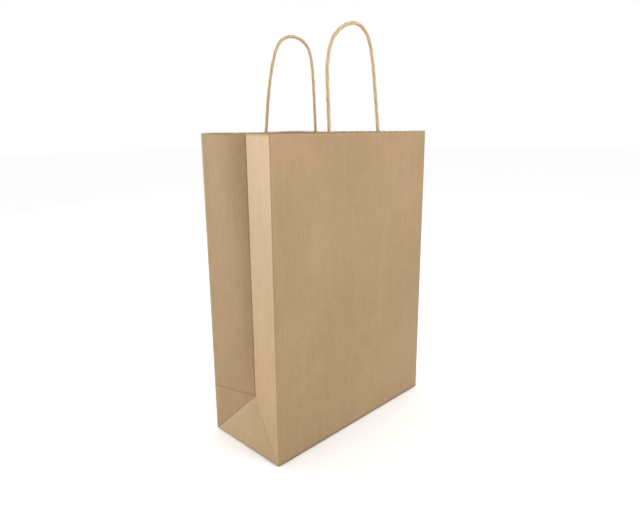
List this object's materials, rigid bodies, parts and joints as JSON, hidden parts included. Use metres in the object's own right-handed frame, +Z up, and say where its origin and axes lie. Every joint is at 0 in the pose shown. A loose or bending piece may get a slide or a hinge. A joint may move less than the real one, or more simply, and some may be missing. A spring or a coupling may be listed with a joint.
{
  "type": "gift bag",
  "caption": "Kraft paper gift bag with folding side gussets, a folded block bottom, a saw-tooth top edge and twisted paper cord handles.",
  "frame": {"origin": "middle of the bag's flat bottom, on the surface it stands on", "axes": "+X along the front panel to the right, +Y from the front panel into the bag, +Z up to the handles"},
  "size_m": [0.24, 0.1062, 0.4353],
  "materials": {
    "kraft_paper": "matte",
    "patch_paper": "matte",
    "paper_cord": "matte"
  },
  "bodies": {
    "back_panel": {"back_panel": "kraft_paper", "glue_lap": "kraft_paper", "back_handle_backing_patch": "patch_paper", "back_handle_ends": "paper_cord", "back_handle_necks": "paper_cord", "back_handle_cover_patch": "patch_paper"},
    "front_panel": {"front_panel": "kraft_paper", "front_handle_backing_patch": "patch_paper", "front_handle_ends": "paper_cord", "front_handle_necks": "paper_cord", "front_handle_cover_patch": "patch_paper"},
    "back_foot": {"back_panel_foot": "kraft_paper", "glue_lap_foot": "kraft_paper"},
    "bottom": {"bottom_front_flap": "kraft_paper", "bottom_back_flap": "kraft_paper", "left_bottom_tuck": "kraft_paper", "right_bottom_tuck": "kraft_paper"},
    "front_handle": {"front_handle_cord": "paper_cord"},
    "back_handle": {"back_handle_cord": "paper_cord"},
    "left_gusset_back": {"left_gusset_back": "kraft_paper"},
    "left_gusset_front": {"left_gusset_front": "kraft_paper"},
    "left_gusset_back_corner": {"left_gusset_back_corner": "kraft_paper"},
    "left_bottom_triangle": {"left_bottom_triangle": "kraft_paper"},
    "right_gusset_back": {"right_gusset_back": "kraft_paper"},
    "right_gusset_front": {"right_gusset_front": "kraft_paper"},
    "right_gusset_back_corner": {"right_gusset_back_corner": "kraft_paper"},
    "right_bottom_triangle": {"right_bottom_triangle": "kraft_paper"}
  },
  "joints": [
    {"name": "flat_fold", "type": "hinge", "parent": "back_panel", "child": "left_gusset_back", "pos_m": [-0.1198, 0.05287, 0], "axis": [0, 0, 1], "range_deg": [0, 68]},
    {"name": "left_gusset_centre_crease", "type": "hinge", "parent": "left_gusset_back", "child": "left_gusset_front", "pos_m": [-0.10464, 0, 0], "axis": [0, 0, -1], "range_deg": [0, 136]},
    {"name": "front_left_corner_crease", "type": "hinge", "parent": "left_gusset_front", "child": "front_panel", "pos_m": [-0.1198, -0.05287, 0], "axis": [0, 0, 1], "range_deg": [0, 68]},
    {"name": "back_right_corner_crease", "type": "hinge", "parent": "back_panel", "child": "right_gusset_back", "pos_m": [0.1198, 0.05287, 0], "axis": [0, 0, -1], "range_deg": [0, 68]},
    {"name": "right_gusset_centre_crease", "type": "hinge", "parent": "right_gusset_back", "child": "right_gusset_front", "pos_m": [0.10464, 0, 0], "axis": [0, 0, 1], "range_deg": [0, 136]},
    {"name": "foot_crease", "type": "hinge", "parent": "back_panel", "child": "back_foot", "pos_m": [0, 0.05307, 0.05289], "axis": [1, 0, 0], "range_deg": [0, 166]},
    {"name": "bottom_back_crease", "type": "hinge", "parent": "back_foot", "child": "bottom", "pos_m": [0, 0.05287, 0.00066], "axis": [-1, 0, 0], "range_deg": [0, 89.41]},
    {"name": "left_foot_corner_crease", "type": "hinge", "parent": "back_foot", "child": "left_gusset_back_corner", "pos_m": [-0.1198, 0.05287, 0], "axis": [0, 0, 1], "range_deg": [0, 68], "deforming": ["left_gusset_back_corner"]},
    {"name": "left_bottom_edge_crease", "type": "hinge", "parent": "bottom", "child": "left_bottom_triangle", "pos_m": [-0.1198, 0, 0.00066], "axis": [0, 1, 0], "range_deg": [0, 68], "deforming": ["left_bottom_triangle"]},
    {"name": "right_foot_corner_crease", "type": "hinge", "parent": "back_foot", "child": "right_gusset_back_corner", "pos_m": [0.1198, 0.05287, 0], "axis": [0, 0, -1], "range_deg": [0, 68], "deforming": ["right_gusset_back_corner"]},
    {"name": "right_bottom_edge_crease", "type": "hinge", "parent": "bottom", "child": "right_bottom_triangle", "pos_m": [0.1198, 0, 0.00066], "axis": [0, -1, 0], "range_deg": [0, 68], "deforming": ["right_bottom_triangle"]},
    {"name": "front_handle_bend", "type": "hinge", "parent": "front_panel", "child": "front_handle", "pos_m": [0, -0.05078, 0.338], "axis": [-1, 0, 0], "range_deg": [-150, 30], "deforming": ["front_handle_necks"]},
    {"name": "back_handle_bend", "type": "hinge", "parent": "back_panel", "child": "back_handle", "pos_m": [0, 0.05078, 0.338], "axis": [1, 0, 0], "range_deg": [-150, 30], "deforming": ["back_handle_necks"]}
  ],
  "couplings": [
    {"joint": "left_gusset_centre_crease", "follows": "flat_fold", "ratio": 2},
    {"joint": "front_left_corner_crease", "follows": "flat_fold", "ratio": 1},
    {"joint": "back_right_corner_crease", "follows": "flat_fold", "ratio": 1},
    {"joint": "right_gusset_centre_crease", "follows": "flat_fold", "ratio": 2},
    {"joint": "foot_crease", "follows": "flat_fold", "ratio": 2.4412},
    {"joint": "bottom_back_crease", "follows": "flat_fold", "ratio": 1.3149},
    {"joint": "left_foot_corner_crease", "follows": "flat_fold", "ratio": 1},
    {"joint": "left_bottom_edge_crease", "follows": "flat_fold", "ratio": 1},
    {"joint": "right_foot_corner_crease", "follows": "flat_fold", "ratio": 1},
    {"joint": "right_bottom_edge_crease", "follows": "flat_fold", "ratio": 1}
  ]
}
